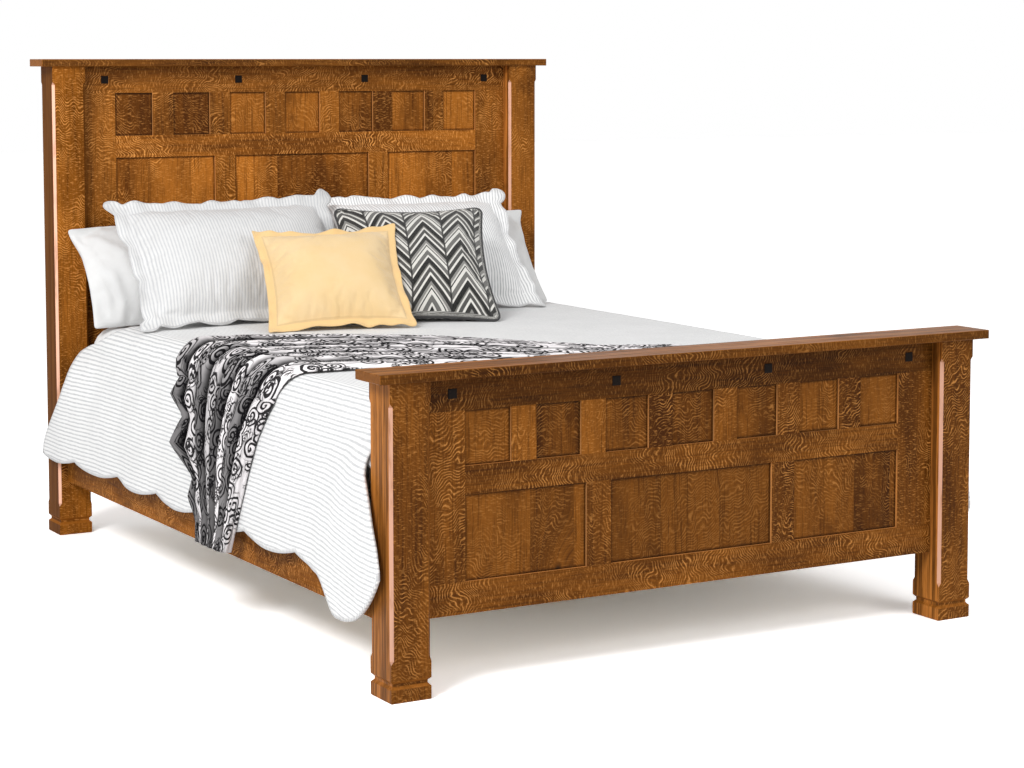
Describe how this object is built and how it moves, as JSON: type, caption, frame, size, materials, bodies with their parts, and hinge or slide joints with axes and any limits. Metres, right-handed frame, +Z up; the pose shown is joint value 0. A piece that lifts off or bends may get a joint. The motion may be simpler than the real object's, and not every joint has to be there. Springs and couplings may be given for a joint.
{
  "type": "queen bed",
  "caption": "Queen bed with panelled wooden headboard and footboard, slats, mattress set, striped quilt, patterned throw and pillows; the bedding and two loose pillows lift off.",
  "frame": {"origin": "on the floor, in the middle of the bed's overall box", "axes": "+X to the right seen from the foot, +Y towards the headboard, +Z up"},
  "size_m": [1.7378, 2.3082, 1.4325],
  "materials": {
    "oak_upright": "amber-brown satin lacquer, upright grain",
    "oak_cap": "amber-brown satin lacquer, grain across the bed",
    "oak_rail": "amber-brown satin lacquer, grain across the bed",
    "oak_stile": "amber-brown satin lacquer, upright grain",
    "oak_panel": "amber-brown satin lacquer, upright grain",
    "oak_side": "amber-brown satin lacquer, grain along the bed",
    "peg_dark": "dark stained, satin",
    "dowel_wood": "plain beech",
    "slat_wood": "plain sawn pine",
    "zinc_steel": "zinc-plated",
    "ticking": "woven ticking",
    "white_cotton": "plain white cotton",
    "striped_cotton": "white quilted cotton with fine grey stripes",
    "sham_cotton": "white cotton with fine grey stripes",
    "throw_plush": "grey plush with dark scrolls",
    "chevron_cloth": "grey, black and white woven pattern, dark piping",
    "yellow_cotton": "pale yellow cotton"
  },
  "bodies": {
    "frame": {"head_post_left": "oak_upright", "head_post_right": "oak_upright", "head_cap": "oak_cap", "head_top_rail": "oak_rail", "head_mid_rail": "oak_rail", "head_bottom_rail": "oak_rail", "head_stile_left": "oak_stile", "head_stile_right": "oak_stile", "head_upper_muntins": "oak_stile", "head_lower_muntins": "oak_stile", "head_upper_panels": "oak_panel", "head_lower_panel_left": "oak_panel", "head_lower_panel_middle": "oak_panel", "head_lower_panel_right": "oak_panel", "head_pegs": "peg_dark", "foot_post_left": "oak_upright", "foot_post_right": "oak_upright", "foot_cap": "oak_cap", "foot_top_rail": "oak_rail", "foot_mid_rail": "oak_rail", "foot_bottom_rail": "oak_rail", "foot_stile_left": "oak_stile", "foot_stile_right": "oak_stile", "foot_upper_muntins": "oak_stile", "foot_lower_muntins": "oak_stile", "foot_upper_panels": "oak_panel", "foot_lower_panel_left": "oak_panel", "foot_lower_panel_middle": "oak_panel", "foot_lower_panel_right": "oak_panel", "foot_pegs": "peg_dark", "cap_dowels": "dowel_wood", "side_rail_left": "oak_side", "side_rail_right": "oak_side", "cleat_left": "slat_wood", "cleat_right": "slat_wood", "slat_1": "slat_wood", "slat_2": "slat_wood", "slat_3": "slat_wood", "slat_4": "slat_wood", "slat_5": "slat_wood", "centre_leg_1": "slat_wood", "centre_leg_2": "slat_wood", "centre_leg_3": "slat_wood", "rail_hook_plates": "zinc_steel", "post_plates": "zinc_steel", "plate_screws": "zinc_steel", "cleat_screws": "zinc_steel", "slat_screws": "zinc_steel"},
    "bedding": {"foundation": "ticking", "mattress": "ticking", "fitted_sheet": "white_cotton", "quilt": "striped_cotton", "throw": "throw_plush", "white_pillow_left": "white_cotton", "white_pillow_right": "white_cotton", "sham_left": "sham_cotton", "sham_right": "sham_cotton"},
    "square_pillow": {"chevron_pillow": "chevron_cloth"},
    "front_pillow": {"yellow_pillow": "yellow_cotton"}
  },
  "joints": [
    {"name": "mattress_lift", "type": "slide", "parent": "frame", "child": "bedding", "axis": [0, 0, 1], "range_m": [0, 0.2]},
    {"name": "yellow_pillow_lift", "type": "slide", "parent": "bedding", "child": "front_pillow", "axis": [0, 0, 1], "range_m": [0, 0.35]},
    {"name": "chevron_pillow_lift", "type": "slide", "parent": "bedding", "child": "square_pillow", "axis": [0.2216, 0.6662, 0.7121], "range_m": [0, 0.3]}
  ]
}
